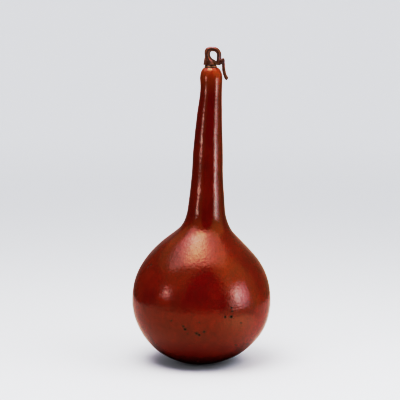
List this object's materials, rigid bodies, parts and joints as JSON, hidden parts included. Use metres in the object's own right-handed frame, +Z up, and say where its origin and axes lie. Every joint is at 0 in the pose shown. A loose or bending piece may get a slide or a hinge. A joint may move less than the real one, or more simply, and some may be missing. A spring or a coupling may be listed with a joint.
{
  "type": "dried bottle gourd",
  "caption": "Dried bottle gourd with a round bulb, a long leaning neck and its own curled, looped stem; it stands on a small flat spot.",
  "frame": {"origin": "centre of the small flat spot under the bulb that the gourd stands on", "axes": "+Z up along the gourd's height; -Y is the front seen in the picture; the neck leans towards +X"},
  "size_m": [0.1493, 0.1484, 0.34],
  "materials": {
    "gourd_skin": "polished red-brown rind",
    "stem_bark": "glossy dark brown, ribbed"
  },
  "bodies": {
    "root": {"gourd": "gourd_skin", "stem": "stem_bark"}
  },
  "joints": []
}
